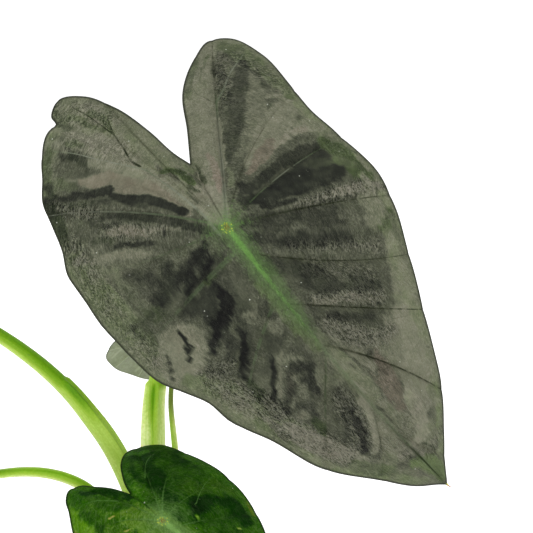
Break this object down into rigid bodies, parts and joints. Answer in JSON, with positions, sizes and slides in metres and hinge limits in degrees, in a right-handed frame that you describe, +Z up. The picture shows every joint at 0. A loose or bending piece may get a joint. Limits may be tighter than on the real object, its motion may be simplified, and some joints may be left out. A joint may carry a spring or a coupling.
{
  "type": "potted colocasia",
  "caption": "House plant in a plain round pot: large dark heart-shaped leaves and smaller green ones on arching green stalks that rise out of the soil.",
  "frame": {"origin": "centre of the pot's flat underside, on the surface it stands on", "axes": "+Z up; -Y is the front, from where the picture looks; +X is to the viewer's right"},
  "size_m": [0.4017, 0.2188, 0.4588],
  "materials": {
    "pot": "smooth satin",
    "soil": "loose potting mix",
    "stalk": "smooth, slightly glossy",
    "dark_blade": "satin leaf skin",
    "green_blade": "satin leaf skin"
  },
  "bodies": {
    "root": {"pot": "pot", "soil": "soil", "stalk_main": "stalk", "blade_main": "dark_blade", "stalk_front": "stalk", "blade_front": "green_blade", "stalk_back": "stalk", "blade_back": "green_blade", "stalk_far": "stalk", "blade_far": "dark_blade", "stalk_old": "stalk", "blade_old": "green_blade"}
  },
  "joints": []
}
